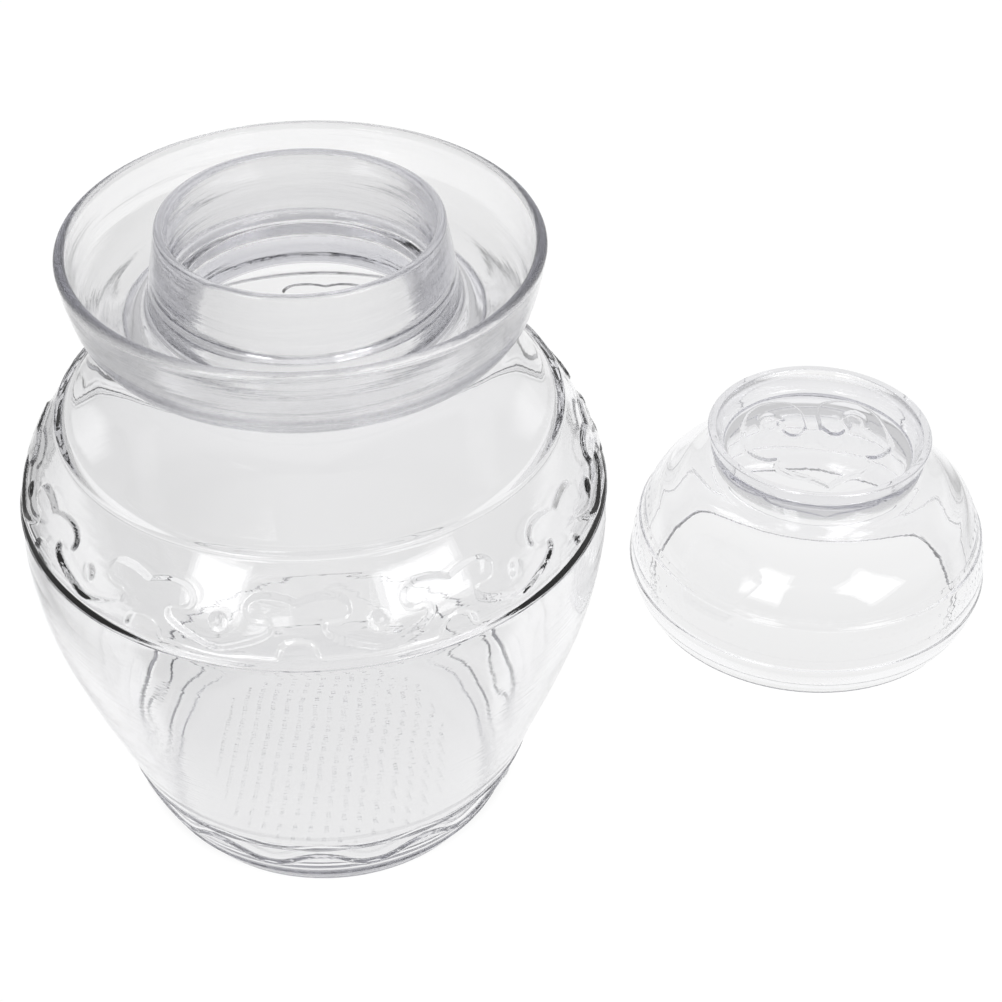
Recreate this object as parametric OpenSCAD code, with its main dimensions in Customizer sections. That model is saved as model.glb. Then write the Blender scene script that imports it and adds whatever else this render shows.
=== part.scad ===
// Glass pickle jar with a water moat round its neck, and its bowl-shaped cap standing beside it, rim down.
// The origin is the middle of the jar's foot, on the surface it stands on. +Z is up. The cap stands on +X.

/* [Jar body] */
// Diameter of the foot that the jar stands on
base_d = 120; // [100:1:140]
// Diameter of the belly at its widest
belly_d = 195; // [185:1:230]
// Height of the widest place above the foot
belly_z = 117; // [90:1:150]
// Height of the rib above the widest place
rib_rise = 16; // [8:1:30]
// Height of the patterned band, from the rib to the double line
band_h = 32; // [28:1:45]
// Diameter of the wall at the double line
line_d = 163; // [150:1:172]
// Height of the shoulder, from the double line to the fused seam
shoulder_h = 31; // [24:1:45]
// Thickness of the blown wall
wall = 4.5; // [3:0.5:6]
// Thickness of the bottom
bottom_t = 7; // [5:0.5:12]
// How far the underside is pushed up at its middle
push_up = 3; // [1:0.5:5]
// How far the rib stands proud of the wall
rib_proud = 1; // [0.6:0.1:1.6]

/* [Neck and moat] */
// Outer diameter of the neck at its rim
neck_d = 90; // [80:1:96]
// Height of the neck above the moat floor
neck_h = 28.5; // [22:0.5:36]
// Thickness of the neck at its rim
neck_wall = 3; // [2.5:0.1:4]
// How much further out the neck stands at the moat floor than at its rim
neck_flare = 4; // [2:0.5:5]
// Width of the ledge inside the neck, above the throat
ledge_w = 2.5; // [1.5:0.5:4]
// Width of the flat floor of the moat
moat_floor_w = 10; // [9:0.5:16]
// Thickness of the moat floor
moat_floor_t = 7; // [5:0.5:9]
// Depth of the moat, from its lip to its floor
moat_depth = 22; // [17:0.5:26]
// How much further out the moat's wall stands at its lip than at its floor
moat_flare = 8; // [6:0.5:12]
// Thickness of the moat's wall at its lip
moat_wall = 4; // [3:0.5:5]

/* [Cap] */
// Height of the cap, from its rim to the top of its foot ring
cap_h = 79; // [66:0.5:90]
// Gap all round between the cap at its widest and the lip of the moat, when the cap is on
cap_gap = 2; // [1.5:0.1:5]
// Thickness of the cap's wall
cap_wall = 4.5; // [3.5:0.5:5.5]
// Outer diameter of the foot ring at its top
ring_d = 86; // [76:1:92]
// Height of the foot ring above the bowl
ring_h = 13.7; // [9:0.1:16]
// Depth of the round recess inside the foot ring
recess_h = 8.5; // [6:0.5:10]
// Free space on the table between the jar and the cap
stand_gap = 42.2; // [10:0.1:120]

/* [Relief] */
// Number of cloud heads round the shoulder
cloud_count = 12; // [11:1:13]
// How far the relief stands proud of the wall
relief_h = 1.2; // [0.8:0.1:1.6]

/* [Hidden] */
$fn = 96;
glass = [0.86, 0.88, 0.90, 0.55];

// Steps between two points of a smooth line, and of a small rounding
line_steps = 3;
round_steps = 5;

// Heights, one standing on the other
rib_z = belly_z + rib_rise;
line_z = rib_z + band_h;
seam_z = line_z + shoulder_h;
floor_z = seam_z + moat_floor_t;
lip_z = floor_z + moat_depth;
rim_z = floor_z + neck_h;

// Radii of the jar body
base_r = base_d / 2;
belly_r = belly_d / 2;
line_r = line_d / 2;
base_round = 1.5;
standing_w = 7.5;
standing_in_r = base_r - base_round - standing_w;
rib_draw_in = 1.2;
rib_r = belly_r - rib_draw_in;
corner_h = 9;
throat_lip = 5;

// Radii of the neck and the moat, one outside the other
neck_r = neck_d / 2;
neck_in_r = neck_r - neck_wall;
throat_r = neck_in_r - ledge_w;
throat_rise = 3;
ledge_h = 6;
root_r = neck_r + neck_flare;
root_fillet = 5;
floor_in_r = root_r + root_fillet;
floor_out_r = floor_in_r + moat_floor_w;
lip_in_r = floor_out_r + moat_flare;
lip_r = lip_in_r + moat_wall;
seam_w = 16.5;
seam_r = throat_r + seam_w;

// Radii and heights of the cap, which fits in the moat with its rim on the moat floor
cap_r = lip_in_r - cap_gap;
cap_round = 1.4;
ring_r = ring_d / 2;
ring_flare = 2.8;
ring_root_r = ring_r - ring_flare;
ring_wall = 3.2;
ring_round = 0.9;
recess_fillet = 2;
recess_r = ring_root_r - ring_wall;
recess_z = cap_h - recess_h;
bowl_h = cap_h - ring_h;
crown_t = 6.5;
ceiling_z = recess_z - crown_t;
cap_x = belly_r + rib_proud + stand_gap + cap_r;

// Fine round lines moulded in the glass
rib_round = 1.6;
double_round = 2;
double_proud = 1;
fine_round = 0.9;
fine_proud = 0.5;
foot_line_z = 28;
toe_line_z = 8;
cap_line_zs = [16, 34.5];

// Relief: how deep it is set into the glass, its pips, and where it turns to
relief_bite = 1;
pip_r = 2.4;
cloud_turn = 2.3;
emblem_r = 29;
emblem_h = 1.2;
emblem_turn = 244;

// Outlines, as shares of the height and of the widening that they follow
belly_shares = [[0, 0], [0.04, 0.085], [0.15, 0.235], [0.35, 0.455], [0.6, 0.735], [0.8, 0.915], [1, 1]];
band_shares = [[0, 0], [0.38, 0.226], [0.74, 0.62], [1, 1]];
shoulder_shares = [[0, 0], [0.05, 0.13], [0.25, 0.27], [0.5, 0.49], [0.75, 0.77], [1, 1]];
inner_shoulder_shares = [[0, 0], [0.25, 0.12], [0.5, 0.29], [0.75, 0.51], [0.93, 0.78], [1, 1]];
bottom_shares = [[0, 1], [0.4, 0.72], [0.75, 0.2], [0.92, 0.75]];
underside_shares = [[0, 1], [0.55, 0.78], [1, 0]];
ledge_shares = [[0, 0], [0.3, 0.55], [0.6, 0.86], [1, 1]];
moat_shares = [[0, 0], [0.08, 0.47], [0.3, 0.79], [0.65, 0.94], [1, 1]];
under_shares = [[0, 0], [0.02, 0.3], [0.1, 0.55], [0.24, 0.725], [0.41, 0.83], [0.74, 0.94], [1, 1]];
cap_shares = [[0, 0.84], [0.056, 0.92], [0.18, 1], [0.35, 0.993], [0.51, 0.915], [0.667, 0.785], [0.79, 0.59],
    [0.9, 0.28], [0.985, 0.08], [1, 0]];
cap_inside_share = 0.7;
dome_shares = [[0.36, 0.13], [0.68, 0.32], [0.9, 0.56], [1, 1]];

// Half a cloud head and half a swag, as shares of the pitch from the head's middle and of the band's height
cloud_top_shares = [[0, 0.62], [0.07, 0.655], [0.16, 0.68], [0.25, 0.67], [0.31, 0.62], [0.33, 0.55],
    [0.31, 0.485], [0.26, 0.455], [0.19, 0.45], [0.165, 0.41], [0.175, 0.35], [0.245, 0.285], [0.35, 0.225],
    [0.44, 0.175], [0.5, 0.16]];
cloud_under_shares = [[0.5, 0.085], [0.4, 0.095], [0.28, 0.11], [0.135, 0.11], [0.11, 0.2], [0.07, 0.265],
    [0, 0.285]];
pip_share = 0.4;
pip_top_share = 0.7;

// Half of the emblem on the cap: a cloud with two lobes and a point, as shares of its radius
emblem_shares = [[0, -0.94], [0.09, -0.85], [0.21, -0.76], [0.4, -0.67], [0.56, -0.57], [0.62, -0.44],
    [0.6, -0.31], [0.73, -0.31], [0.88, -0.22], [0.99, -0.05], [0.98, 0.2], [0.94, 0.48], [0.85, 0.73],
    [0.67, 0.92], [0.45, 0.99], [0.23, 0.95], [0.12, 0.79], [0.1, 0.55], [0.09, 0.35], [0, 0.28]];

// Points on a smooth line through the points p, with n steps between each pair
function knot(p, i) = p[max(0, min(len(p) - 1, i))];
function on_span(a, b, c, d, t) =
    (2 * b + (c - a) * t + (2 * a - 5 * b + 4 * c - d) * t * t + (3 * b - a - 3 * c + d) * t * t * t) / 2;
function smooth(p, n = line_steps) = [
    for (i = [0 : len(p) - 2])
        for (k = [0 : n - 1])
            on_span(knot(p, i - 1), p[i], p[i + 1], knot(p, i + 2), k / n),
    p[len(p) - 1]
];

// Points between two ends, placed by shares of the height and of the widening
function between(r0, z0, r1, z1, shares) =
    [for (s = shares) [r0 + (r1 - r0) * s[1], z0 + (z1 - z0) * s[0]]];

// A line moved inwards by a thickness, square to itself
function outward(p, i) = let (d = knot(p, i + 1) - knot(p, i - 1)) [d[1], -d[0]] / norm(d);
function moved(p, t) = [for (i = [0 : len(p) - 1]) p[i] + outward(p, i) * t];

// Radius of a line at a height
function radius_at(p, z, i = 0) =
    i >= len(p) - 2 || p[i + 1][1] >= z
    ? p[i][0] + (p[i + 1][0] - p[i][0]) * (z - p[i][1]) / (p[i + 1][1] - p[i][1])
    : radius_at(p, z, i + 1);

function arc(m, r, a0, a1, n = round_steps) =
    [for (k = [0 : n]) m + r * [cos(a0 + (a1 - a0) * k / n), sin(a0 + (a1 - a0) * k / n)]];
function backwards(p) = [for (i = [len(p) - 1 : -1 : 0]) p[i]];
function below(p, z) = [for (q = p) if (q[1] < z) q];
function above(p, z) = [for (q = p) if (q[1] > z) q];
function but_first(p) = [for (i = [1 : len(p) - 1]) p[i]];
function mirrored(p) = concat(p, [for (q = backwards(but_first(p))) [-q[0], q[1]]]);

// The wall of the jar body, outside and inside
belly_line = smooth(between(base_r, base_round, belly_r, belly_z, belly_shares));
band_line = between(rib_r, rib_z, line_r, line_z, band_shares);
shoulder_line = smooth(between(line_r, line_z, seam_r, seam_z, shoulder_shares));
body_outside = concat(belly_line, band_line, but_first(shoulder_line));
body_inside = moved(concat(belly_line, band_line), -wall);
inner_line = body_inside[len(body_inside) - 1];
inner_shoulder = smooth(
    between(inner_line[0], inner_line[1], throat_r, seam_z - throat_lip, inner_shoulder_shares)
);
corner_z = bottom_t + corner_h;
corner_r = radius_at(body_inside, corner_z);
inner_bottom = smooth([
    for (s = bottom_shares) [corner_r * s[0], bottom_t + push_up * s[1]],
    [corner_r, corner_z]
]);
underside = [for (s = underside_shares) [standing_in_r * s[0], push_up * s[1]]];
body_outline = concat(
    underside,
    arc([base_r - base_round, base_round], base_round, -90, 0, 2),
    but_first(body_outside),
    [[throat_r, seam_z]],
    backwards(concat(inner_bottom, above(body_inside, corner_z), but_first(inner_shoulder)))
);

// The pressed top: throat, ledge, neck, moat floor, moat wall, and back along the underside
ledge_z = floor_z + throat_rise;
collar_outline = concat(
    [[throat_r, seam_z]],
    smooth(between(throat_r, ledge_z, neck_in_r, ledge_z + ledge_h, ledge_shares)),
    arc([neck_r - neck_wall / 2, rim_z - neck_wall / 2], neck_wall / 2, 180, 0, 2 * round_steps),
    arc([floor_in_r, floor_z + root_fillet], root_fillet, 180, 270),
    smooth(between(floor_out_r, floor_z, lip_in_r, lip_z - moat_wall / 2, moat_shares)),
    arc([lip_r - moat_wall / 2, lip_z - moat_wall / 2], moat_wall / 2, 150, 30, 2 * round_steps),
    backwards(smooth(between(seam_r, seam_z, lip_r, lip_z - moat_wall / 2, under_shares)))
);

// The cap: rim, bowl, foot ring, recess, and back along the inside
cap_outside = smooth(between(ring_root_r, cap_round, cap_r, bowl_h, cap_shares));
cap_inside = moved(cap_outside, -cap_wall);
cap_rim_r = cap_outside[0][0];
cap_shoulder = below(cap_inside, bowl_h * cap_inside_share);
dome_start = cap_shoulder[len(cap_shoulder) - 1];
dome = smooth(concat([dome_start], between(dome_start[0], dome_start[1], 0, ceiling_z, dome_shares)));
cap_outline = concat(
    [[cap_rim_r - cap_wall + cap_round, 0]],
    arc([cap_rim_r - cap_round, cap_round], cap_round, -90, 0),
    but_first(cap_outside),
    arc([ring_r - ring_round, cap_h - ring_round], ring_round, 0, 90),
    arc([ring_r - ring_wall + ring_round, cap_h - ring_round], ring_round, 90, 180),
    arc([recess_r - recess_fillet, recess_z + recess_fillet], recess_fillet, 0, -90),
    [[0, recess_z]],
    backwards(concat([[cap_rim_r - cap_wall, cap_round]], but_first(cap_shoulder), but_first(dome)))
);

// A round line proud of a wall at a height
module moulded_line(outside, z, r, proud) {
    rotate_extrude() translate([radius_at(outside, z) + proud - r, z]) circle(r, $fn = 24);
}

// A skin over the wall, from a little inside it to the face of the relief
module skin(outside) {
    rotate_extrude() polygon(concat(moved(outside, relief_h), backwards(moved(outside, -relief_bite))));
}

// Copies of a flat outline, drawn upright against the wall and evenly round it
module round_the_wall(count, turn, z, far) {
    for (i = [0 : count - 1])
        rotate(turn + i * 360 / count) translate([0, 0, z]) rotate([90, 0, 90])
            linear_extrude(far) children();
}

module cloud_outline(pitch) {
    half = [for (s = concat(cloud_top_shares, cloud_under_shares)) [s[0] * pitch, s[1] * band_h]];
    polygon(half);
    mirror([1, 0]) polygon(half);
}

// A round pip square to the wall, in the middle of a swag
module pip() {
    z = rib_z + pip_share * band_h;
    tilt = atan2(radius_at(band_line, z - pip_r) - radius_at(band_line, z + pip_r), 2 * pip_r);
    translate([radius_at(band_line, z), 0, z]) rotate([0, 90 - tilt, 0]) translate([0, 0, -relief_bite])
        cylinder(relief_bite + relief_h, pip_r, pip_r * pip_top_share);
}

module cloud_band() {
    pitch = 2 * belly_r * tan(180 / cloud_count);
    intersection() {
        skin(band_line);
        round_the_wall(cloud_count, cloud_turn, rib_z, belly_r + relief_h) cloud_outline(pitch);
    }
    for (i = [0 : cloud_count - 1])
        rotate(cloud_turn + (i + 1 / 2) * 360 / cloud_count) pip();
}

module jar_body() color(glass) {
    rotate_extrude() polygon(body_outline);
    moulded_line(body_outside, rib_z, rib_round, rib_proud);
    moulded_line(body_outside, line_z, double_round, double_proud);
    moulded_line(body_outside, foot_line_z, fine_round, fine_proud);
    moulded_line(body_outside, toe_line_z, fine_round, fine_proud);
    cloud_band();
}

module neck_and_moat() color(glass) {
    rotate_extrude() polygon(collar_outline);
}

module emblem() {
    points = mirrored([for (s = emblem_shares) s * emblem_r]);
    translate([0, 0, -relief_bite]) linear_extrude(relief_bite + emblem_h) polygon(points);
}

module lid_bowl() color(glass) {
    translate([cap_x, 0, 0]) {
        rotate_extrude() polygon(cap_outline);
        for (z = cap_line_zs)
            moulded_line(cap_outside, z, fine_round, fine_proud);
        translate([0, 0, recess_z]) rotate(emblem_turn + 90) emblem();
    }
}

jar_body();
neck_and_moat();
lid_bowl();
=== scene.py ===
"""Clear glass pickle jar with a moat round its neck, and its bowl-shaped cap beside it.

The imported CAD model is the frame. Each glass piece is turned from an outline, and its relief is raised on the
wall. Outlines are (radius, height) in millimetres about the piece's own axis; the meshes are in metres.
"""

import math

import bmesh
import bpy
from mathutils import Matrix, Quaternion, Vector, noise


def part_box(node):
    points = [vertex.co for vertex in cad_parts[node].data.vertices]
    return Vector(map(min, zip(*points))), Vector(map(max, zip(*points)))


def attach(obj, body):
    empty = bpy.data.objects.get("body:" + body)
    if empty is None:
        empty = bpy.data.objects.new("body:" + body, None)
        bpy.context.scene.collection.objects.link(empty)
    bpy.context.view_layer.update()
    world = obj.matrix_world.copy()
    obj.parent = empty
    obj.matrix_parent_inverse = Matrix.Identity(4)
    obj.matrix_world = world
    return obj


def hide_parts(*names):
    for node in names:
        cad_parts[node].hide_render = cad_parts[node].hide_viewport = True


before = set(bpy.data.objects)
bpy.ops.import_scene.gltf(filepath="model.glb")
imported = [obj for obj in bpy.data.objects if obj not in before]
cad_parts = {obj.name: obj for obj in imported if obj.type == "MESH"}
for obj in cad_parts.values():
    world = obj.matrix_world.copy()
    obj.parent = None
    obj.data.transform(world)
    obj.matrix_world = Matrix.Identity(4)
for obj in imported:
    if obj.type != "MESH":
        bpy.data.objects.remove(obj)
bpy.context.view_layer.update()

MM = 0.001


def frame_box(node):
    """A CAD node's lowest and highest corners at rest, in millimetres."""
    return [[round(value / MM, 2) for value in corner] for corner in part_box(node)]


_, body_top = frame_box("jar_body")
_, collar_top = frame_box("neck_and_moat")
cap_low_corner, cap_high_corner = frame_box("lid_bowl")

# Sizes of the jar's body, in millimetres, with heights one on the other

BASE_R = 60.0
BASE_ROUND = 1.5
STANDING_IN_R = BASE_R - BASE_ROUND - 7.5
PUSH_UP = 3.0
WALL = 4.5
BOTTOM_T = 7.0
BOTTOM_CORNER_H = 9.0
FOOT_LINES = (8.0, 28.0)
BELLY_R = body_top[0]
BELLY_Z = 117.0
RIB_R = BELLY_R - 1.2
RIB_Z = BELLY_Z + 16.0
RIB_W = 2.6
RIB_PROUD = 1.0
RIB_UNDERCUT = 0.2
BAND_H = 32.0
LINE_R = 81.5
LINE_Z = RIB_Z + BAND_H
SEAM_R = 56.0
SEAM_Z = body_top[2]

# Sizes of the neck and the moat

NECK_R = 45.0
NECK_WALL = 3.0
NECK_IN_R = NECK_R - NECK_WALL
NECK_ROOT_R = NECK_R + 4.0
ROOT_FILLET = 5.0
RIM_Z = collar_top[2]
THROAT_R = NECK_IN_R - 2.5
THROAT_Z = SEAM_Z - 5.0
FLOOR_Z = SEAM_Z + 7.0
FLOOR_OUT_R = 64.0
LEDGE_Z = FLOOR_Z + 3.0
LEDGE_H = 6.0
LIP_R = collar_top[0]
LIP_ROUND = 2.0
LIP_IN_R = LIP_R - 2 * LIP_ROUND
LIP_Z = FLOOR_Z + 22.0

# Sizes of the cap

CAP_X = (cap_low_corner[0] + cap_high_corner[0]) / 2
CAP_R = LIP_IN_R - 2.0
CAP_H = cap_high_corner[2]
CAP_WALL = 4.5
CAP_ROUND = 1.4
CAP_BOWL_H = CAP_H - 13.7
CAP_LINES = (16.0, 34.5)
RING_R = 43.0
RING_ROOT_R = RING_R - 2.8
RING_WALL = 3.2
RING_ROUND = 0.9
RECESS_Z = CAP_H - 8.5
RECESS_R = RING_ROOT_R - RING_WALL
RECESS_FILLET = 2.0
CEILING_Z = RECESS_Z - 6.5
CAP_DOME_Z = CAP_BOWL_H * 0.7

# A smooth line swells a little past its points, so these two start smaller and stay in the CAD's box
BELLY_ROOM = 0.15
CAP_ROOM = 0.01

# Relief: moulded round lines as (width, height), and how far each ornament stands proud

FINE_BEAD = (1.8, 0.5)
DOUBLE_BEAD = (3.8, 1.1)
CLOUD_COUNT = 12
CLOUD_TURN = math.radians(2.3)
CLOUD_R = 90.5
CLOUD_H = 0.95
CLOUD_SOFT = 1.1
PIP_R = 2.6
FOOT_WAVE_R = 67.0
FOOT_WAVE_Z = 19.3
FOOT_WAVE_RISE = 4.0
FOOT_WAVE_W = 1.7
FOOT_WAVE_H = 0.8
FOOT_WAVE_SPAN = (12.5, 26.0)
STIPPLE_ROWS = (21.5, 25.2, 28.9, 37.8)
STIPPLE_SPAN = (STIPPLE_ROWS[0] - 1.3, STIPPLE_ROWS[-1] + 1.3)
STIPPLE_COUNT = 76
STIPPLE_R = 0.95
STIPPLE_H = 0.15
EMBLEM_R = 29.0
EMBLEM_TURN = math.radians(244)
EMBLEM_H = 1.0
EMBLEM_SOFT = 1.3
CURL_W = 1.7
CURL_DEEP = 0.6

# Outlines as shares of the height and of the widening

BELLY_SHARES = [(0, 0), (0.04, 0.085), (0.15, 0.235), (0.35, 0.455), (0.6, 0.735), (0.8, 0.915), (1, 1)]
BAND_SHARES = [(0, 0), (0.19, 0.09), (0.38, 0.226), (0.56, 0.405), (0.74, 0.62), (0.87, 0.8), (1, 1)]
SHOULDER_SHARES = [(0, 0), (0.05, 0.09), (0.25, 0.28), (0.5, 0.52), (0.75, 0.76), (1, 1)]
INNER_SHOULDER_SHARES = [(0, 0), (0.06, 0.07), (0.25, 0.2), (0.5, 0.38), (0.75, 0.6), (0.93, 0.83), (1, 1)]
MOAT_SHARES = [(0, 0), (0.08, 0.47), (0.3, 0.79), (0.65, 0.94), (1, 1)]
UNDER_SHARES = [(0, 0), (0.02, 0.3), (0.1, 0.55), (0.24, 0.725), (0.41, 0.83), (0.74, 0.94), (1, 1)]
LEDGE_SHARES = [(0, 0), (0.3, 0.55), (0.6, 0.86), (1, 1)]
CAP_SHARES = [(0, 0.84), (0.056, 0.92), (0.18, 1), (0.35, 0.993), (0.51, 0.915), (0.667, 0.785), (0.79, 0.59),
              (0.9, 0.28), (0.985, 0.08), (1, 0)]
DOME_SHARES = [(0.36, 0.13), (0.68, 0.32), (0.9, 0.56), (1, 1)]

# Outlines as shares of a radius and of a height

BOTTOM_SHARES = [(0, 1), (0.4, 0.72), (0.75, 0.2), (0.92, 0.75)]
UNDERSIDE_SHARES = [(0, 1), (0.55, 0.78), (1, 0)]

# Half of a cloud head, as shares of the pitch from head to head and of the band's height

CLOUD_TOP = [(0, 0.62), (0.07, 0.655), (0.16, 0.68), (0.25, 0.67), (0.31, 0.62), (0.33, 0.55), (0.31, 0.485),
             (0.26, 0.455), (0.19, 0.45), (0.165, 0.41), (0.175, 0.35), (0.245, 0.285), (0.35, 0.225),
             (0.44, 0.175), (0.5, 0.16)]
CLOUD_UNDER = [(0.5, 0.085), (0.4, 0.095), (0.28, 0.11), (0.135, 0.11), (0.11, 0.2), (0.07, 0.265),
               (0, 0.285)]
PIP_SHARE = 0.4

# Half of the emblem on the cap and the curl in it, as shares of its radius

EMBLEM_SHARES = [(0, -0.94), (0.09, -0.85), (0.21, -0.76), (0.4, -0.67), (0.56, -0.57), (0.62, -0.44),
                 (0.6, -0.31), (0.73, -0.31), (0.88, -0.22), (0.99, -0.05), (0.98, 0.2), (0.94, 0.48),
                 (0.85, 0.73), (0.67, 0.92), (0.45, 0.99), (0.23, 0.95), (0.12, 0.79), (0.1, 0.55),
                 (0.09, 0.35), (0, 0.28)]
EMBLEM_CURL = [(0.1, 0.34), (0.2, 0.2), (0.36, 0.2), (0.46, 0.36), (0.42, 0.56), (0.56, 0.68), (0.7, 0.56),
               (0.7, 0.36)]

# Fineness of the meshes: sides of a turned piece, and spacing of points where a wall is rippled or has relief

SEGMENTS = 128
RIPPLE_STEP = 1.1
FOOT_WAVE_STEP = 0.9
UPPER_BELLY_Z = 125.0
UPPER_BELLY_STEP = 1.0
BAND_STEP = 0.75
STIPPLE_STEP = 0.7
RECESS_STEP = 0.8
UNDERSIDE_STEP = 4.0

# Lines


def smooth(points, steps=4):
    """Points on a smooth line through the given ones, with that many steps between each pair."""
    points = [Vector(p) for p in points]
    line = []
    for i in range(len(points) - 1):
        a, b, c, d = (points[max(0, min(len(points) - 1, i + k))] for k in (-1, 0, 1, 2))
        for k in range(steps):
            t = k / steps
            bend, turn = 2 * a - 5 * b + 4 * c - d, 3 * b - a - 3 * c + d
            line.append((2 * b + (c - a) * t + bend * t**2 + turn * t**3) / 2)
    return line + [points[-1]]


def between(r0, z0, r1, z1, shares):
    """Points from one place to another, by their shares of the height and of the widening."""
    return [Vector((r0 + (r1 - r0) * wide, z0 + (z1 - z0) * high)) for high, wide in shares]


def arc(r, z, size, start, end, steps=6):
    """Points on an arc about (r, z), from one turn in degrees to another."""
    turns = [math.radians(start + (end - start) * k / steps) for k in range(steps + 1)]
    return [Vector((r + size * math.cos(turn), z + size * math.sin(turn))) for turn in turns]


def moved(line, distance):
    """The line moved square to itself, outwards where the distance is positive."""
    out = []
    for i, point in enumerate(line):
        along = line[min(i + 1, len(line) - 1)] - line[max(i - 1, 0)]
        out.append(point + Vector((along.y, -along.x)).normalized() * distance)
    return out


def spaced(line, gap):
    """The same line with its points about that gap apart."""
    out = [line[0]]
    for a, b in zip(line, line[1:]):
        steps = max(1, round((b - a).length / gap))
        out += [a.lerp(b, (k + 1) / steps) for k in range(steps)]
    return out


def straight(r0, z0, r1, z1):
    """Points between two places on a straight stretch, without its ends."""
    return spaced([Vector((r0, z0)), Vector((r1, z1))], RIPPLE_STEP)[1:-1]


def below(line, z):
    return [p for p in line if p.y < z]


def above(line, z):
    return [p for p in line if p.y > z]


def radius_at(line, z):
    """Radius of a rising line at a height."""
    for a, b in zip(line, line[1:]):
        if a.y <= z <= b.y and b.y > a.y:
            return a.x + (b.x - a.x) * (z - a.y) / (b.y - a.y)
    return line[0].x if z < line[0].y else line[-1].x


def overhung(line, z, width, proud, undercut, reach=2.5, corner=0.3, steps=10):
    """A rising line with a ridge whose underside is level: proud of the line above it, set back below it.

    The wall is set back over that reach under the ridge, and the ridge's two lower corners are rounded.
    """
    low = z - width / 3
    wall = []
    for p in below(line, low - corner - 0.1):
        set_back = max(0.0, 1 - (low - p.y) / reach) ** 2
        wall.append(Vector((p.x - undercut * set_back, p.y)))
    inner, outer = radius_at(line, low) - undercut, radius_at(line, low) + proud
    ridge = arc(inner + corner, low - corner, corner, 180, 90, 5)
    ridge += spaced([Vector((inner + corner, low)), Vector((outer - corner, low))], 0.2)[1:-1]
    ridge += arc(outer - corner, low + corner, corner, -90, 0, 5)
    for k in range(1, steps + 1):
        t = k / steps
        at = low + corner + (width - corner) * t
        ridge.append(Vector((radius_at(line, at) + proud * (0.5 + 0.5 * math.cos(math.pi * t)), at)))
    return wall + ridge + above(line, low + width)


def beaded(line, z, width, proud, steps=8):
    """A rising line with a round moulded bead on it at a height."""
    low, high = z - width / 2, z + width / 2
    bead = []
    for k in range(steps + 1):
        at = low + (high - low) * k / steps
        bead.append(Vector((radius_at(line, at) + proud * math.sin(math.pi * k / steps), at)))
    return below(line, low) + bead + above(line, high)


# Relief on a wall, from its flat outline


def to_edge(point, line):
    """Distance from a point to an open line."""
    best = math.inf
    for a, b in zip(line, line[1:]):
        along = b - a
        t = max(0.0, min(1.0, (point - a).dot(along) / along.length_squared))
        best = min(best, (point - a - along * t).length)
    return best


def is_inside(point, ring):
    """True if a point lies inside a closed outline."""
    inside = False
    for a, b in zip(ring, ring[1:] + ring[:1]):
        if (a.y > point.y) != (b.y > point.y):
            inside ^= point.x < a.x + (b.x - a.x) * (point.y - a.y) / (b.y - a.y)
    return inside


def step_up(distance, soft):
    """0 outside, 1 inside, with a rounded slope that wide across the edge."""
    t = max(0.0, min(1.0, distance / soft + 0.5))
    return t * t * (3 - 2 * t)


CLOUD_PITCH = 2 * math.pi * CLOUD_R / CLOUD_COUNT
cloud_top = smooth([(across * CLOUD_PITCH, high * BAND_H) for across, high in CLOUD_TOP], 3)
cloud_under = smooth([(across * CLOUD_PITCH, high * BAND_H) for across, high in CLOUD_UNDER], 3)
cloud_ring = cloud_top + cloud_under
cloud_pip = Vector((CLOUD_PITCH / 2, PIP_SHARE * BAND_H))
cloud_known = {}


def cloud_height(turn, z):
    """How far the cloud band stands proud at a turn round the jar and a height.

    Every half of a head is alike, so each place is worked out once and kept in cloud_known.
    """
    share = ((turn - CLOUD_TURN) / (2 * math.pi) * CLOUD_COUNT) % 1.0
    across = min(share, 1 - share) * CLOUD_PITCH
    key = (round(across, 3), round(z, 3))
    if key not in cloud_known:
        at = Vector((across, z - RIB_Z))
        distance = min(to_edge(at, cloud_top), to_edge(at, cloud_under))
        face = step_up(distance if is_inside(at, cloud_ring) else -distance, CLOUD_SOFT)
        pip = 1 - ((at - cloud_pip).length / PIP_R) ** 2
        cloud_known[key] = CLOUD_H * max(face, math.sqrt(pip) if pip > 0 else 0)
    return cloud_known[key]


emblem_line = smooth([(across * EMBLEM_R, along * EMBLEM_R) for across, along in EMBLEM_SHARES], 3)
emblem_curl = smooth([(across * EMBLEM_R, along * EMBLEM_R) for across, along in EMBLEM_CURL], 3)


def emblem_height(x, y):
    """How far the emblem stands proud of the recess floor, at a place about the cap's axis."""
    along = -(x * math.cos(EMBLEM_TURN) + y * math.sin(EMBLEM_TURN))
    across = abs(x * math.sin(EMBLEM_TURN) - y * math.cos(EMBLEM_TURN))
    at = Vector((across, along))
    distance = to_edge(at, emblem_line)
    face = step_up(distance if is_inside(at, emblem_line) else -distance, EMBLEM_SOFT)
    groove = max(0.0, 1 - (to_edge(at, emblem_curl) / CURL_W) ** 2)
    return EMBLEM_H * face - CURL_DEEP * groove * groove


def foot_wave_height(turn, z):
    """How far the wavy ribbon above the foot stands proud, with a crest under each cloud head."""
    swing = CLOUD_COUNT * (turn - CLOUD_TURN)
    rise = FOOT_WAVE_Z + FOOT_WAVE_RISE * math.cos(swing)
    slope = FOOT_WAVE_RISE * CLOUD_COUNT / FOOT_WAVE_R * math.sin(swing)
    away = (z - rise) / math.hypot(1, slope) / FOOT_WAVE_W
    return FOOT_WAVE_H * (1 - away * away) ** 2 if abs(away) < 1 else 0.0


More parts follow.
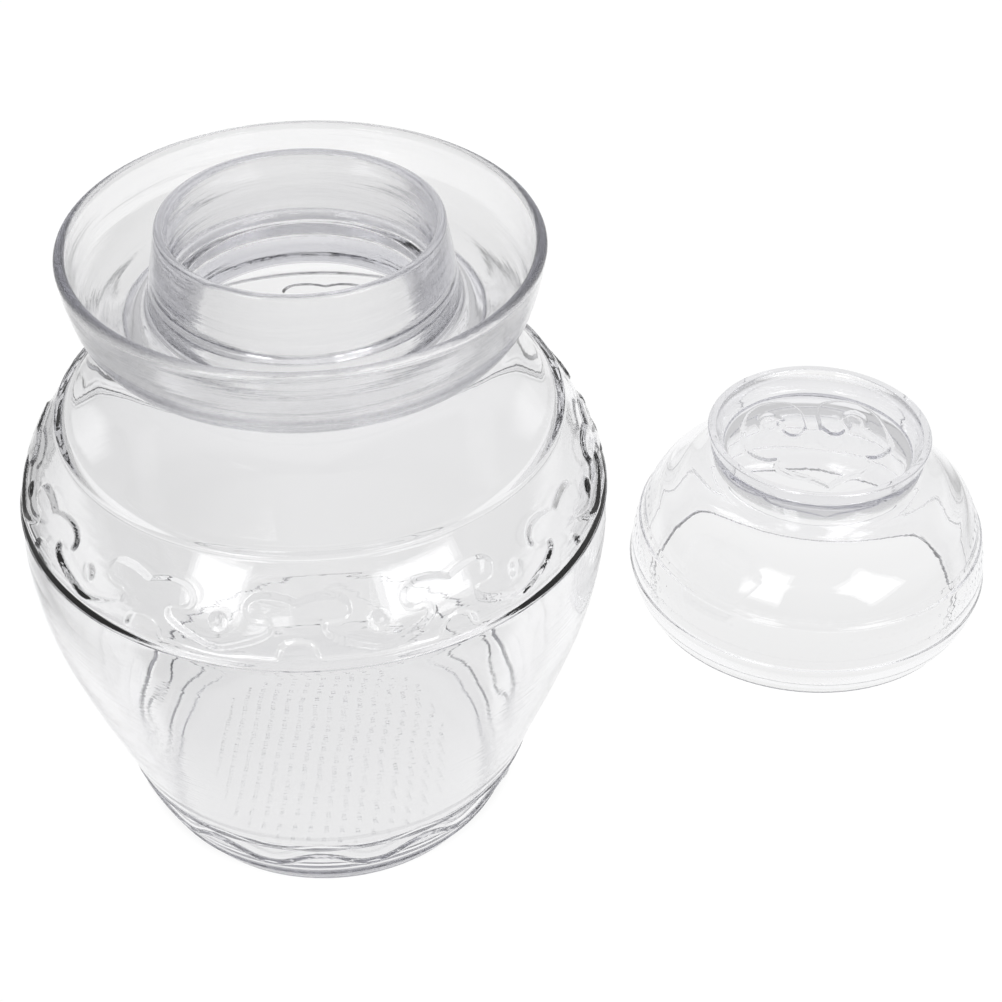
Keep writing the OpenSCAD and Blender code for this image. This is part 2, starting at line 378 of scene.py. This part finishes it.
def stipple_height(turn, z):
    """How far the rows of round dots on the cap's wall stand proud."""
    for row, middle in enumerate(STIPPLE_ROWS):
        if abs(z - middle) < STIPPLE_R:
            share = (turn / (2 * math.pi) * STIPPLE_COUNT + row / 2) % 1.0 - 0.5
            away = math.hypot(share * 2 * math.pi * CAP_R / STIPPLE_COUNT, z - middle) / STIPPLE_R
            return STIPPLE_H * (1 - away * away) if away < 1 else 0.0
    return 0.0


# Outlines of the two pieces


def jar_lines():
    """The closed outline of the jar's glass, and its plain outer wall, which the relief stands on."""
    belly = smooth(between(BASE_R, BASE_ROUND, BELLY_R - BELLY_ROOM, BELLY_Z, BELLY_SHARES)
                   + [Vector((RIB_R, RIB_Z))], 5)
    band = smooth(between(RIB_R, RIB_Z, LINE_R, LINE_Z, BAND_SHARES), 2)
    shoulder = smooth(between(LINE_R, LINE_Z, SEAM_R, SEAM_Z, SHOULDER_SHARES), 4)
    wave_low, wave_high = FOOT_WAVE_SPAN

    wall = below(belly, wave_low - 0.5)
    wall += above(below(spaced(belly, FOOT_WAVE_STEP), wave_high), wave_low)
    wall += above(below(belly, UPPER_BELLY_Z), wave_high + 0.5)
    wall += spaced(above(belly, UPPER_BELLY_Z), UPPER_BELLY_STEP)
    wall += spaced(band, BAND_STEP)[1:] + shoulder[1:]

    outside = overhung(wall, RIB_Z, RIB_W, RIB_PROUD, RIB_UNDERCUT)
    outside = beaded(outside, LINE_Z, *DOUBLE_BEAD, 12)
    for z in FOOT_LINES:
        outside = beaded(outside, z, *FINE_BEAD, 6)

    inner_wall = moved(belly + band[1:], -WALL)
    inner_shoulder = smooth(between(*inner_wall[-1], THROAT_R, THROAT_Z, INNER_SHOULDER_SHARES), 3)
    corner_z = BOTTOM_T + BOTTOM_CORNER_H
    corner_r = radius_at(inner_wall, corner_z)
    inner_bottom = smooth([(corner_r * out, BOTTOM_T + PUSH_UP * up) for out, up in BOTTOM_SHARES]
                          + [(corner_r, corner_z)], 6)
    underside = smooth([(STANDING_IN_R * out, PUSH_UP * up) for out, up in UNDERSIDE_SHARES], 4)

    line = spaced(underside, UNDERSIDE_STEP)
    line += arc(BASE_R - BASE_ROUND, BASE_ROUND, BASE_ROUND, -90, 0, 4)
    line += outside[1:]
    line += moat_and_neck()
    line += inner_shoulder[:0:-1]
    line += above(inner_wall, corner_z + 1)[::-1]
    line += inner_bottom[::-1]
    return line, wall


def moat_and_neck():
    """The pressed top's part of the outline, from the fused seam over the lip and the neck to the throat."""
    lip_z = LIP_Z - LIP_ROUND
    neck_round = NECK_WALL / 2
    rim_z = RIM_Z - neck_round
    line = spaced(smooth(between(SEAM_R, SEAM_Z, LIP_R, lip_z, UNDER_SHARES), 3), RIPPLE_STEP)[1:]
    line += arc(LIP_R - LIP_ROUND, lip_z, LIP_ROUND, 15, 165, 10)
    line += spaced(smooth(between(FLOOR_OUT_R, FLOOR_Z, LIP_IN_R, lip_z, MOAT_SHARES), 3), RIPPLE_STEP)[::-1]
    line += straight(FLOOR_OUT_R, FLOOR_Z, NECK_ROOT_R + ROOT_FILLET, FLOOR_Z)
    line += arc(NECK_ROOT_R + ROOT_FILLET, FLOOR_Z + ROOT_FILLET, ROOT_FILLET, 270, 180, 8)
    line += straight(NECK_ROOT_R, FLOOR_Z + ROOT_FILLET, NECK_R, rim_z)
    line += arc(NECK_R - neck_round, rim_z, neck_round, 0, 180, 10)
    line += straight(NECK_IN_R, rim_z, NECK_IN_R, LEDGE_Z + LEDGE_H)
    line += smooth(between(THROAT_R, LEDGE_Z, NECK_IN_R, LEDGE_Z + LEDGE_H, LEDGE_SHARES), 3)[::-1]
    line += straight(THROAT_R, LEDGE_Z, THROAT_R, THROAT_Z)
    return line


def cap_lines():
    """The closed outline of the cap's glass, and its outer wall, which the dots stand on."""
    outside = smooth(between(RING_ROOT_R, CAP_ROUND, CAP_R - CAP_ROOM, CAP_BOWL_H, CAP_SHARES), 4)
    dots_low, dots_high = STIPPLE_SPAN[0] - 0.2, STIPPLE_SPAN[1] + 0.2
    dotted = above(below(spaced(outside, STIPPLE_STEP), dots_high), dots_low)
    wall = below(outside, dotted[0].y) + dotted + above(outside, dotted[-1].y)
    for z in CAP_LINES:
        wall = beaded(wall, z, *FINE_BEAD)

    inside = below(moved(outside, -CAP_WALL)[1:], CAP_DOME_Z)
    dome = smooth([inside[-1]] + between(*inside[-1], 0, CEILING_Z, DOME_SHARES), 5)
    rim_r = outside[0].x

    line = spaced([Vector((0, RECESS_Z)), Vector((RECESS_R - RECESS_FILLET, RECESS_Z))], RECESS_STEP)
    line += arc(RECESS_R - RECESS_FILLET, RECESS_Z + RECESS_FILLET, RECESS_FILLET, -90, 0, 6)[1:]
    line += arc(RING_R - RING_WALL + RING_ROUND, CAP_H - RING_ROUND, RING_ROUND, 180, 90, 4)
    line += arc(RING_R - RING_ROUND, CAP_H - RING_ROUND, RING_ROUND, 90, 0, 4)
    line += wall[:0:-1]
    line += arc(rim_r - CAP_ROUND, CAP_ROUND, CAP_ROUND, 0, -90, 5)
    line += arc(rim_r - CAP_WALL + CAP_ROUND, CAP_ROUND, CAP_ROUND, -90, -180, 5)
    line += inside + dome[1:]
    return line, wall


# Meshes

# Cuts to each ring edge where a wall has relief
CLOUD_CUTS = 6
FOOT_WAVE_CUTS = 3
STIPPLE_CUTS = 5
RECESS_CUTS = 3
# The rings inside this radius are fine enough as they are
EMBLEM_EYE_R = 4.0
# How near a wall's line, in millimetres, a point lies on that wall
ON_WALL = 0.8
# Waves that the turning plunger left on the pressed top: how many to a millimetre across it and along its
# section, the share of a place's radius that counts as along, their height, and how far under the rim they
# start to fade out
PLUNGER_WAVES = (0.014, 0.24)
PLUNGER_SLANT = 0.7
PLUNGER_H = 0.12
PLUNGER_FADE_H = 3.0


def turned(outline):
    """A closed bmesh turned from an outline that starts and ends on the axis."""
    bm = bmesh.new()
    points = [bm.verts.new((p.x * MM, 0, p.y * MM)) for p in outline]
    edges = [bm.edges.new(pair) for pair in zip(points, points[1:])]
    bmesh.ops.spin(bm, geom=points + edges, cent=(0, 0, 0), axis=(0, 0, 1), angle=2 * math.pi, steps=SEGMENTS,
                   use_merge=True)
    bmesh.ops.remove_doubles(bm, verts=bm.verts, dist=1e-6)
    bmesh.ops.recalc_face_normals(bm, faces=bm.faces)
    return bm


def refined(bm, wanted, cuts):
    """Cuts the rings' edges where wanted(radius, z) is true, and puts the new points on the rings."""
    edges = []
    for edge in bm.edges:
        a, b = (vert.co for vert in edge.verts)
        on_ring = abs(a.z - b.z) < 1e-7 and abs(a.xy.length - b.xy.length) < 1e-6
        if on_ring and wanted(a.xy.length / MM, a.z / MM):
            edges.append(edge)
    chord = math.cos(math.pi / SEGMENTS)
    cut = bmesh.ops.subdivide_edges(bm, edges=edges, cuts=cuts, use_grid_fill=True)
    for vert in cut["geom_inner"]:
        if isinstance(vert, bmesh.types.BMVert):
            turn = math.atan2(vert.co.y, vert.co.x) * SEGMENTS / (2 * math.pi)
            vert.co.xy *= math.cos((turn - math.floor(turn) - 0.5) * 2 * math.pi / SEGMENTS) / chord


def raised(bm, line, low, high, cuts, height_at):
    """Cuts a wall finer between two heights, and moves its points out square to it, by height_at(turn, z)."""

    def on_wall(radius, z):
        return low < z < high and abs(radius - radius_at(line, z)) < ON_WALL

    refined(bm, on_wall, cuts)
    for vert in bm.verts:
        z = vert.co.z / MM
        if on_wall(vert.co.xy.length / MM, z):
            proud = height_at(math.atan2(vert.co.y, vert.co.x), z) * MM
            tilt = math.atan(radius_at(line, z - 0.5) - radius_at(line, z + 0.5))
            vert.co.xy *= 1 + proud * math.cos(tilt) / vert.co.xy.length
            vert.co.z += proud * math.sin(tilt)


def rippled(bm):
    """Waves round the pressed top, left by the turning plunger, that fade out at the neck's rim."""
    bm.normal_update()
    across, along = PLUNGER_WAVES
    for vert in bm.verts:
        x, y, z = vert.co / MM
        if z > SEAM_Z + 1:
            section = z + PLUNGER_SLANT * math.hypot(x, y)
            wave = noise.noise((x * across, y * across, section * along))
            vert.co += vert.normal * wave * PLUNGER_H * MM * min(1.0, (RIM_Z - z) / PLUNGER_FADE_H)


def finished(bm, name, body, node_names, place_x=0.0):
    """Makes the bmesh an object that stands for CAD nodes and rides on a body."""
    bmesh.ops.translate(bm, verts=bm.verts, vec=(place_x * MM, 0, 0))
    mesh = bpy.data.meshes.new(name)
    bm.to_mesh(mesh)
    bm.free()
    mesh.shade_smooth()
    piece = bpy.data.objects.new(name, mesh)
    bpy.context.scene.collection.objects.link(piece)
    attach(piece, body)
    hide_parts(*node_names)
    return piece


def make_jar():
    outline, wall = jar_lines()
    bm = turned(outline)
    raised(bm, wall, RIB_Z + RIB_W, LINE_Z - DOUBLE_BEAD[0] / 2, CLOUD_CUTS, cloud_height)
    raised(bm, wall, FOOT_WAVE_SPAN[0] - 0.1, FOOT_WAVE_SPAN[1] + 0.1, FOOT_WAVE_CUTS, foot_wave_height)
    rippled(bm)
    return finished(bm, "jar_glass", "jar", ["jar_body", "neck_and_moat"])


def make_cap():
    outline, wall = cap_lines()
    bm = turned(outline)
    raised(bm, wall, *STIPPLE_SPAN, STIPPLE_CUTS, stipple_height)

    def on_recess_floor(z):
        return abs(z - RECESS_Z) < 0.01

    def under_emblem(radius, z):
        return on_recess_floor(z) and EMBLEM_EYE_R < radius < RECESS_R - RECESS_FILLET - 0.5

    refined(bm, under_emblem, RECESS_CUTS)
    for vert in bm.verts:
        if on_recess_floor(vert.co.z / MM):
            vert.co.z += emblem_height(vert.co.x / MM, vert.co.y / MM) * MM
    return finished(bm, "cap_glass", "lid", ["lid_bowl"], CAP_X)


# Materials

# Heights of the bumps, in millimetres
WAVE_H = 0.15
FINE_RIPPLE_H = 0.08
SKIN_RIPPLE_H = 0.015
DOT_H = 0.28
# Sizes of the blown skin's waves and of the pressed top's ripples, along X, Y and Z
WAVE_STEP = Vector((71.43, 71.43, 111.1)) * MM
FINE_RIPPLE_STEP = Vector((38.46, 38.46, 1.5625)) * MM
# The dots under the base: from dot to dot, the grid's turn, and a dot's edge as shares of the step
DOT_STEP = 5.5 * MM
DOT_TURN = math.radians(33)
DOT_EDGE = (0.06, 0.2)
# The dots end at this radius, over this width, and fade between these heights
DOT_REACH = 43.0 * MM
DOT_FADE_W = 1.0 * MM
DOT_Z = (4.8 * MM, 4.0 * MM)
# Grains of the pressed top's frosting, drawn coarser than the real ones so that they show: their size, the
# stretch of the noise from between them to on them, and the roughness there and there
FROST_STEP = 1.11 * MM
FROST_NOISE = (0.4, 0.7)
FROST = (0.05, 0.16)
# The heights about the fused seam between which the blown skin turns into the pressed top
TOP_Z = ((SEAM_Z - 0.5) * MM, (SEAM_Z + 1.0) * MM)
# Tints of the blown and the pressed glass, the colour let through in depth, and light taken up per metre
BLOWN_TINT = "#fefefe"
PRESSED_TINT = "#f9f9f9"
DEPTH_TINT = "#00006c"
DEPTH_DENSITY = 5.0
GLASS_IOR = 1.52


def linear(hex_colour):
    """An sRGB hex colour as linear RGBA."""
    parts = [int(hex_colour[i:i + 2], 16) / 255 for i in (1, 3, 5)]
    return [c / 12.92 if c <= 0.04045 else ((c + 0.055) / 1.055) ** 2.4 for c in parts] + [1.0]


def add_node(tree, kind, values=(), links=(), **settings):
    """Adds a node with its settings, socket values and incoming links."""
    made = tree.nodes.new(kind)
    for name, value in settings.items():
        setattr(made, name, value)
    for name, value in dict(values).items():
        made.inputs[name].default_value = value
    for name, source in dict(links).items():
        tree.links.new(source, made.inputs[name])
    return made


def new_tree(block):
    """An empty node tree on a material or a world."""
    block.use_nodes = True
    block.node_tree.nodes.clear()
    return block.node_tree


def ramp(tree, value, start, end, low=0.0, high=1.0, kind="LINEAR"):
    """Low to high as a value goes from start to end."""
    span = add_node(tree, "ShaderNodeMapRange",
                    {"From Min": start, "From Max": end, "To Min": low, "To Max": high}, {"Value": value},
                    interpolation_type=kind)
    return span.outputs["Result"]


def maths(tree, operation, first, second):
    """A Math node on an output and a number or another output."""
    fixed = isinstance(second, float)
    made = add_node(tree, "ShaderNodeMath", {1: second} if fixed else (),
                    {0: first} if fixed else {0: first, 1: second}, operation=operation)
    return made.outputs["Value"]


def times(tree, first, second):
    return maths(tree, "MULTIPLY", first, second)


def length_of(tree, x, y):
    """Length of the flat vector of two outputs."""
    flat = add_node(tree, "ShaderNodeCombineXYZ", links={"X": x, "Y": y})
    away = add_node(tree, "ShaderNodeVectorMath", links={0: flat.outputs["Vector"]}, operation="LENGTH")
    return away.outputs["Value"]


def waves(tree, at, step, detail, roughness):
    """Noise whose waves have the given size along X, Y and Z."""
    scale = tuple(1 / size for size in step)
    stretch = add_node(tree, "ShaderNodeMapping", {"Scale": scale}, {"Vector": at})
    made = add_node(tree, "ShaderNodeTexNoise", {"Scale": 1.0, "Detail": detail, "Roughness": roughness},
                    {"Vector": stretch.outputs["Vector"]})
    return made.outputs["Fac"]


def round_ripples(tree, parts, reach):
    """Fine waves that run round the axis: noise drawn out along the circle, and short up and down."""
    section = add_node(tree, "ShaderNodeMath", {1: PLUNGER_SLANT}, {0: reach, 2: parts.outputs["Z"]},
                       operation="MULTIPLY_ADD")
    drawn = add_node(tree, "ShaderNodeCombineXYZ",
                     links={"X": parts.outputs["X"], "Y": parts.outputs["Y"], "Z": section.outputs["Value"]})
    return waves(tree, drawn.outputs["Vector"], FINE_RIPPLE_STEP, 3.0, 0.6)


def dot_grid(tree, place):
    """Round dots in a square grid."""
    scaled = add_node(tree, "ShaderNodeMapping",
                      {"Scale": (1 / DOT_STEP, 1 / DOT_STEP, 0.0), "Rotation": (0.0, 0.0, DOT_TURN)},
                      {"Vector": place.outputs["Object"]})
    cell = add_node(tree, "ShaderNodeVectorMath", links={0: scaled.outputs["Vector"]}, operation="FRACTION")
    middle = add_node(tree, "ShaderNodeVectorMath", {1: (0.5, 0.5, 0.0)}, {0: cell.outputs["Vector"]},
                      operation="SUBTRACT")
    away = add_node(tree, "ShaderNodeVectorMath", links={0: middle.outputs["Vector"]}, operation="LENGTH")
    return ramp(tree, away.outputs["Value"], *DOT_EDGE, 1.0, 0.0, "SMOOTHSTEP")


def soda_glass():
    """Soda-lime glass, blown and fire-polished below, pressed and slightly frosted at the top.

    The eye sees clear glass with dark and bright edges and slow waves, a softer, greyer top and a dotted
    base. It is one material for all of the piece, so that light enters and leaves the same glass.
    """
    material = bpy.data.materials.new("soda_lime_glass")
    tree = new_tree(material)
    place = add_node(tree, "ShaderNodeTexCoord")
    parts = add_node(tree, "ShaderNodeSeparateXYZ", links={"Vector": place.outputs["Object"]})
    reach = length_of(tree, parts.outputs["X"], parts.outputs["Y"])
    top = ramp(tree, parts.outputs["Z"], *TOP_Z)
    base = times(tree, ramp(tree, parts.outputs["Z"], *DOT_Z),
                 ramp(tree, reach, DOT_REACH + DOT_FADE_W, DOT_REACH))
    height = times(tree, waves(tree, place.outputs["Object"], WAVE_STEP, 2.0, 0.5), WAVE_H)
    ripple_h = ramp(tree, top, 0.0, 1.0, SKIN_RIPPLE_H, FINE_RIPPLE_H)
    height = maths(tree, "ADD", height, times(tree, round_ripples(tree, parts, reach), ripple_h))
    height = maths(tree, "ADD", height, times(tree, times(tree, dot_grid(tree, place), base), DOT_H))
    bump = add_node(tree, "ShaderNodeBump", {"Strength": 1.0, "Distance": MM}, {"Height": height})
    grains = add_node(tree, "ShaderNodeTexNoise", {"Scale": 1 / FROST_STEP, "Detail": 1.0},
                      {"Vector": place.outputs["Object"]})
    rough = times(tree, ramp(tree, grains.outputs["Fac"], *FROST_NOISE, *FROST), top)
    # The Mix node's colours are its inputs 6 and 7 and its output 2
    tint = add_node(tree, "ShaderNodeMix", {6: linear(BLOWN_TINT), 7: linear(PRESSED_TINT)}, {0: top},
                    data_type="RGBA")
    shader = add_node(tree, "ShaderNodeBsdfPrincipled", {"IOR": GLASS_IOR, "Transmission Weight": 1.0},
                      {"Base Color": tint.outputs[2], "Normal": bump.outputs["Normal"], "Roughness": rough})
    inside = add_node(tree, "ShaderNodeVolumeAbsorption",
                      {"Color": linear(DEPTH_TINT), "Density": DEPTH_DENSITY})
    add_node(tree, "ShaderNodeOutputMaterial",
             links={"Surface": shader.outputs["BSDF"], "Volume": inside.outputs["Volume"]})
    return material


# The lit sheet under the pieces, in metres

# How the sheet fades with distance from a middle: from, to, and the light there and there
SHEET_MIDDLE = (0.16, 0.28)
SHEET_FADE = (0.52, 1.3, 1.015, 0.75)
# The picture's left and right edges on the sheet: a direction across the edge, and how far the edge lies that
# way from the jar's axis
LEFT_EDGE = (-0.9488, 0.316, 0.1216)
RIGHT_EDGE = (0.78, -0.6258, 0.2443)
# A little past each edge the sheet starts to fade to this share of its light, and is there after these widths
PAST_EDGE = 0.6
PAST_EDGE_FROM = 0.004
LEFT_FADE_W = 0.09
RIGHT_FADE_W = 0.12
# A soft patch of painted shadow stands for the shade that each piece casts on the sheet, under and behind it.
# It is made of strokes drawn out from the piece's foot, each with its start, its end, and its half width there
# and there
JAR_STROKES = [(0.01, 0.165, 0.071, 0.122), (0.165, 0.37, 0.1, 0.1), (0.37, 0.374, 0.12, 0.12)]
CAP_STROKES = [(0.003, 0.03, 0.067, 0.0715), (0.03, 0.11, 0.0715, 0.05)]
# A patch's foot, its turn in degrees, its strokes, the light kept along it (from, to, share there and there),
# and the share of that kept towards its left
JAR_SHADE = ((0.0, 0.0), 67.3, JAR_STROKES, (0.0, 0.45, 0.83, 0.92), 0.9)
CAP_SHADE = ((CAP_X * MM, 0.0), 51.1, CAP_STROKES, (-0.05, 0.04, 0.85, 0.94), 1.0)
# Where a patch grows dimmer towards its left, and where its soft edge starts as a share of its half width
SHADE_LEFT = (0.01, 0.1)
SHADE_EDGE = 0.87


def stroke(tree, parts, start, end, width, end_width):
    """Distance from a stroke drawn along X from start to end, as a share of its half width there."""
    on_line = add_node(tree, "ShaderNodeClamp", {"Min": start, "Max": end}, {"Value": parts.outputs["X"]})
    past = maths(tree, "SUBTRACT", parts.outputs["X"], on_line.outputs["Result"])
    away = length_of(tree, past, parts.outputs["Y"])
    return maths(tree, "DIVIDE", away, ramp(tree, on_line.outputs["Result"], start, end, width, end_width))


def soft_shade(tree, place, foot, turn, strokes, keep, keep_left):
    """The share of its light the sheet keeps in a soft patch of painted shadow with its foot at a point."""
    turned_in = add_node(tree, "ShaderNodeMapping",
                         {"Location": (foot[0], foot[1], 0.0), "Rotation": (0.0, 0.0, math.radians(turn))},
                         {"Vector": place.outputs["Object"]}, vector_type="TEXTURE")
    parts = add_node(tree, "ShaderNodeSeparateXYZ", links={"Vector": turned_in.outputs["Vector"]})
    share = stroke(tree, parts, *strokes[0])
    for more in strokes[1:]:
        share = maths(tree, "MINIMUM", share, stroke(tree, parts, *more))
    kept = times(tree, ramp(tree, parts.outputs["X"], *keep),
                 ramp(tree, parts.outputs["Y"], *SHADE_LEFT, 1.0, keep_left))
    patch = add_node(tree, "ShaderNodeMapRange", {"From Min": SHADE_EDGE, "From Max": 1.0, "To Max": 1.0},
                     {"Value": share, "To Min": kept}, interpolation_type="SMOOTHSTEP")
    return patch.outputs["Result"]


def sideways(tree, at, edge):
    """How far a place lies from the jar's axis, square to an edge of the picture."""
    made = add_node(tree, "ShaderNodeVectorMath", {1: edge[:2] + (0.0,)}, {0: at}, operation="DOT_PRODUCT")
    return made.outputs["Value"]


def past_edge(tree, place, edge, width):
    """1 on the near side of a line on the sheet, falling to PAST_EDGE over a width past it."""
    distance = sideways(tree, place.outputs["Object"], edge)
    return ramp(tree, distance, edge[2] + PAST_EDGE_FROM, edge[2] + width, 1.0, PAST_EDGE, "SMOOTHSTEP")


def light_table():
    """Pale acrylic sheet lit from below: a plain even white to the eye, dimmer past the picture's edges.

    Painted soft shadows of the jar and the cap dim it under and behind them.
    """
    material = bpy.data.materials.new("lit_acrylic_sheet")
    tree = new_tree(material)
    place = add_node(tree, "ShaderNodeTexCoord")
    centred = add_node(tree, "ShaderNodeMapping", {"Location": (-SHEET_MIDDLE[0], -SHEET_MIDDLE[1], 0.0)},
                       {"Vector": place.outputs["Object"]})
    reach = add_node(tree, "ShaderNodeVectorMath", links={0: centred.outputs["Vector"]}, operation="LENGTH")
    strength = ramp(tree, reach.outputs["Value"], *SHEET_FADE, "SMOOTHSTEP")
    for edge, width in ((LEFT_EDGE, LEFT_FADE_W), (RIGHT_EDGE, RIGHT_FADE_W)):
        strength = times(tree, strength, past_edge(tree, place, edge, width))
    # Painted soft shadows of the jar and the cap dim the sheet
    for shade in (JAR_SHADE, CAP_SHADE):
        strength = times(tree, strength, soft_shade(tree, place, *shade))
    glow = add_node(tree, "ShaderNodeEmission", {"Color": linear("#ffffff")}, {"Strength": strength})
    add_node(tree, "ShaderNodeOutputMaterial", links={"Surface": glow.outputs["Emission"]})
    return material


# Stage

# Half the side of the floor, and how far it lies under the pieces, in metres
FLOOR_REACH = 4.0
FLOOR_DROP = 0.0002
# Strength of the studio air at the horizon and at a rise
AIR = (0.65, 0.75)
AIR_RISE = 0.9
# The share of it kept towards the left, and where that starts and is reached
AIR_LEFT = 0.85
AIR_TO_LEFT = (0.1, 0.8)
# The softboxes stand this far off. Each has a wide layer and, a little nearer, a heart, as shares of its size
# and their glow
SOFTBOX_AWAY = 1.25
SOFTBOX_LAYERS = [(1.0, 1.5), (0.8, 2.2)]
SOFTBOX_LAYER_GAP = 0.01
# Softboxes of each piece: name, the point aimed at, turn, rise, width, height and roll, in metres and degrees
JAR_SOFTBOXES = [("jar_light_left", (-0.06, -0.07, 0.15), -154, 16, 0.52, 0.62, 0),
                 ("jar_light_right", (0.0, -0.09, 0.15), -75, 13, 0.8, 0.56, 0)]
CAP_SOFTBOXES = [("cap_light_left", (0.165, -0.04, 0.045), -152, 30, 0.52, 1.1, 0),
                 ("cap_light_right", (0.195, -0.058, 0.045), -80, 30, 0.7, 0.9, 30)]
# The camera as fitted to the photograph's rims, rib and foot
CAMERA_PLACE = Vector((-226.9, -542.2, 578.8)) * MM
CAMERA_LOOK = Vector((0.37903, 0.69063, -0.61591))
CAMERA_ROLL = math.radians(0.28)
CAMERA_LENS = 79.04
CAMERA_SENSOR = 36
# Bounces of light: through glass, and off its surfaces
BOUNCES = 32
GLOSSY_BOUNCES = 12


def make_floor():
    bm = bmesh.new()
    bmesh.ops.create_grid(bm, x_segments=1, y_segments=1, size=FLOOR_REACH)
    mesh = bpy.data.meshes.new("floor")
    bm.to_mesh(mesh)
    bm.free()
    floor = bpy.data.objects.new("floor", mesh)
    bpy.context.scene.collection.objects.link(floor)
    mesh.materials.append(light_table())
    floor.location.z = -FLOOR_DROP


def facing(look, roll):
    """The turn of a camera or a light that looks along a direction, rolled about it."""
    return look.to_track_quat("-Z", "Y") @ Quaternion((0, 0, 1), roll)


def softbox(name, aim, turn, rise, width, height, roll, piece):
    """An oblong soft light for one piece, at a turn and a rise from the point it faces, brighter inside."""
    turn, rise = math.radians(turn), math.radians(rise)
    towards = Vector((math.cos(turn) * math.cos(rise), math.sin(turn) * math.cos(rise), math.sin(rise)))
    lit = bpy.data.collections.new(name + "_lights")
    lit.objects.link(piece)
    for layer, (size, glow) in enumerate(SOFTBOX_LAYERS):
        light = bpy.data.lights.new(name, "AREA")
        light.shape = "RECTANGLE"
        light.size = width * size
        light.size_y = height * size
        light.energy = glow * math.pi * light.size * light.size_y
        lamp = bpy.data.objects.new(f"{name}_{layer}", light)
        bpy.context.scene.collection.objects.link(lamp)
        lamp.location = Vector(aim) + towards * (SOFTBOX_AWAY - SOFTBOX_LAYER_GAP * layer)
        lamp.rotation_mode = "QUATERNION"
        lamp.rotation_quaternion = facing(-towards, math.radians(roll))
        lamp.light_linking.receiver_collection = lit


def make_world():
    """Studio air: mid grey at the horizon, paler overhead, a little dimmer on the left."""
    world = bpy.data.worlds.new("studio")
    tree = new_tree(world)
    place = add_node(tree, "ShaderNodeTexCoord")
    parts = add_node(tree, "ShaderNodeSeparateXYZ", links={"Vector": place.outputs["Generated"]})
    to_left = sideways(tree, place.outputs["Generated"], LEFT_EDGE)
    strength = times(tree, ramp(tree, parts.outputs["Z"], 0.0, AIR_RISE, *AIR),
                     ramp(tree, to_left, *AIR_TO_LEFT, 1.0, AIR_LEFT, "SMOOTHSTEP"))
    air = add_node(tree, "ShaderNodeBackground", {"Color": linear("#ffffff")}, {"Strength": strength})
    add_node(tree, "ShaderNodeOutputWorld", links={"Surface": air.outputs["Background"]})
    bpy.context.scene.world = world


def make_camera():
    data = bpy.data.cameras.new("camera")
    data.lens = CAMERA_LENS
    data.sensor_width = CAMERA_SENSOR
    camera = bpy.data.objects.new("camera", data)
    bpy.context.scene.collection.objects.link(camera)
    camera.location = CAMERA_PLACE
    camera.rotation_mode = "QUATERNION"
    camera.rotation_quaternion = facing(CAMERA_LOOK, CAMERA_ROLL)
    bpy.context.scene.camera = camera


def settle_render():
    """Colours as they are, and enough bounces for light to pass all the walls of glass."""
    scene = bpy.context.scene
    scene.view_settings.view_transform = "Standard"
    scene.view_settings.look = "None"
    scene.cycles.use_denoising = True
    scene.cycles.max_bounces = BOUNCES
    scene.cycles.transmission_bounces = BOUNCES
    scene.cycles.glossy_bounces = GLOSSY_BOUNCES
    scene.cycles.caustics_reflective = False
    scene.cycles.caustics_refractive = False


make_camera()
jar = make_jar()
cap = make_cap()
glass = soda_glass()
for piece, boxes in ((jar, JAR_SOFTBOXES), (cap, CAP_SOFTBOXES)):
    piece.data.materials.append(glass)
    # Light is not bent in shadow rays, so without this each wall would black out the next
    piece.visible_shadow = False
    for box in boxes:
        softbox(*box, piece)
make_floor()
make_world()
settle_render()
